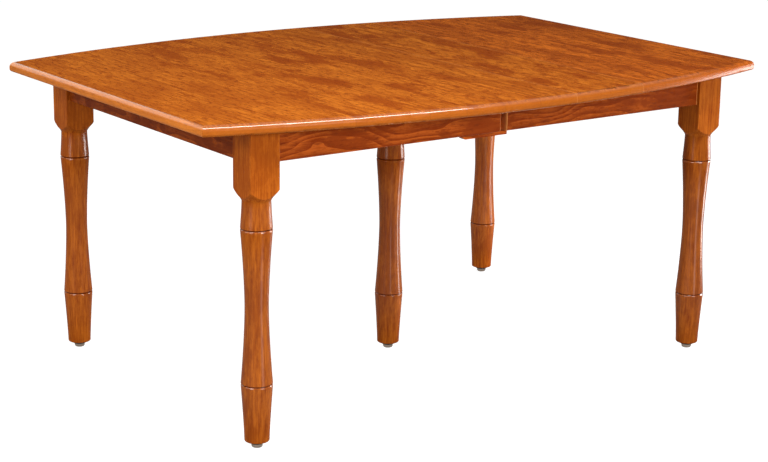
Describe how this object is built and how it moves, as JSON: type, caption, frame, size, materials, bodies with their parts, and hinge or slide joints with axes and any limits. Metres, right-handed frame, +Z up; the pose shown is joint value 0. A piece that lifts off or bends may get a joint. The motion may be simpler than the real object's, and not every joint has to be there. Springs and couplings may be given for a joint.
{
  "type": "dining table",
  "caption": "Boat-shaped extension dining table with a planked wooden top, straight skirts, turned legs on metal glides and geared slides that part the top to take a leaf.",
  "frame": {"origin": "on the floor under the middle of the closed table", "axes": "+X along the table to its right end, +Y across it to the far side, +Z up"},
  "size_m": [1.6764, 1.2192, 0.773],
  "materials": {
    "top_wood": "stained, semi-gloss lacquer",
    "skirt_wood": "stained, semi-gloss lacquer",
    "leg_wood": "stained, semi-gloss lacquer",
    "slide_wood": "bare, sanded",
    "nickel": "polished nickel plate",
    "dark_rubber": "matt",
    "zinc": "zinc plate",
    "nylon": "moulded"
  },
  "bodies": {
    "middle_frame": {"middle_leg": "leg_wood", "middle_glide": "nickel", "middle_glide_cushion": "dark_rubber", "front_middle_rail": "slide_wood", "back_middle_rail": "slide_wood", "gear_pins": "zinc", "cross_plank": "slide_wood", "middle_leg_bolts": "zinc", "plank_screws": "zinc"},
    "left_half": {"left_board_1": "top_wood", "left_board_2": "top_wood", "left_board_3": "top_wood", "left_board_4": "top_wood", "left_board_5": "top_wood", "left_board_6": "top_wood", "left_front_skirt": "skirt_wood", "left_back_skirt": "skirt_wood", "left_end_skirt": "skirt_wood", "left_front_leg": "leg_wood", "left_back_leg": "leg_wood", "left_glides": "nickel", "left_glide_cushions": "dark_rubber", "left_corner_brackets": "slide_wood", "left_corner_bolts": "zinc", "left_corner_nuts": "zinc", "left_screws": "zinc", "front_left_rail": "slide_wood", "back_left_rail": "slide_wood", "left_racks": "nylon", "left_stop_pins": "zinc", "skirt_guides": "skirt_wood", "lock_plates": "zinc"},
    "right_half": {"right_board_1": "top_wood", "right_board_2": "top_wood", "right_board_3": "top_wood", "right_board_4": "top_wood", "right_board_5": "top_wood", "right_board_6": "top_wood", "right_front_skirt": "skirt_wood", "right_back_skirt": "skirt_wood", "right_end_skirt": "skirt_wood", "right_front_leg": "leg_wood", "right_back_leg": "leg_wood", "right_glides": "nickel", "right_glide_cushions": "dark_rubber", "right_corner_brackets": "slide_wood", "right_corner_bolts": "zinc", "right_corner_nuts": "zinc", "right_screws": "zinc", "front_right_rail": "slide_wood", "back_right_rail": "slide_wood", "right_racks": "nylon", "right_stop_pins": "zinc", "lock_keepers": "zinc", "alignment_pins": "slide_wood"},
    "front_gear": {"front_gear": "nylon"},
    "back_gear": {"back_gear": "nylon"},
    "front_lock": {"front_lock_lever": "zinc"},
    "back_lock": {"back_lock_lever": "zinc"}
  },
  "joints": [
    {"name": "left_slide", "type": "slide", "parent": "middle_frame", "child": "left_half", "axis": [-1, 0, 0], "range_m": [0, 0.6096]},
    {"name": "right_slide", "type": "slide", "parent": "middle_frame", "child": "right_half", "axis": [1, 0, 0], "range_m": [0, 0.6096]},
    {"name": "front_gear_spin", "type": "hinge", "parent": "middle_frame", "child": "front_gear", "pos_m": [0, -0.24, 0.72], "axis": [0, 0, 1], "range_deg": [-1941, 0]},
    {"name": "back_gear_spin", "type": "hinge", "parent": "middle_frame", "child": "back_gear", "pos_m": [0, 0.24, 0.72], "axis": [0, 0, 1], "range_deg": [0, 1941]},
    {"name": "front_lock_swing", "type": "hinge", "parent": "left_half", "child": "front_lock", "pos_m": [-0.038, -0.342, 0.74], "axis": [0, 0, 1], "range_deg": [0, 90]},
    {"name": "back_lock_swing", "type": "hinge", "parent": "left_half", "child": "back_lock", "pos_m": [-0.038, 0.342, 0.74], "axis": [0, 0, -1], "range_deg": [0, 90]}
  ],
  "couplings": [
    {"joint": "right_slide", "follows": "left_slide", "ratio": 1},
    {"joint": "front_gear_spin", "follows": "left_slide", "rad_per_m": -55.556},
    {"joint": "back_gear_spin", "follows": "left_slide", "rad_per_m": 55.556}
  ]
}
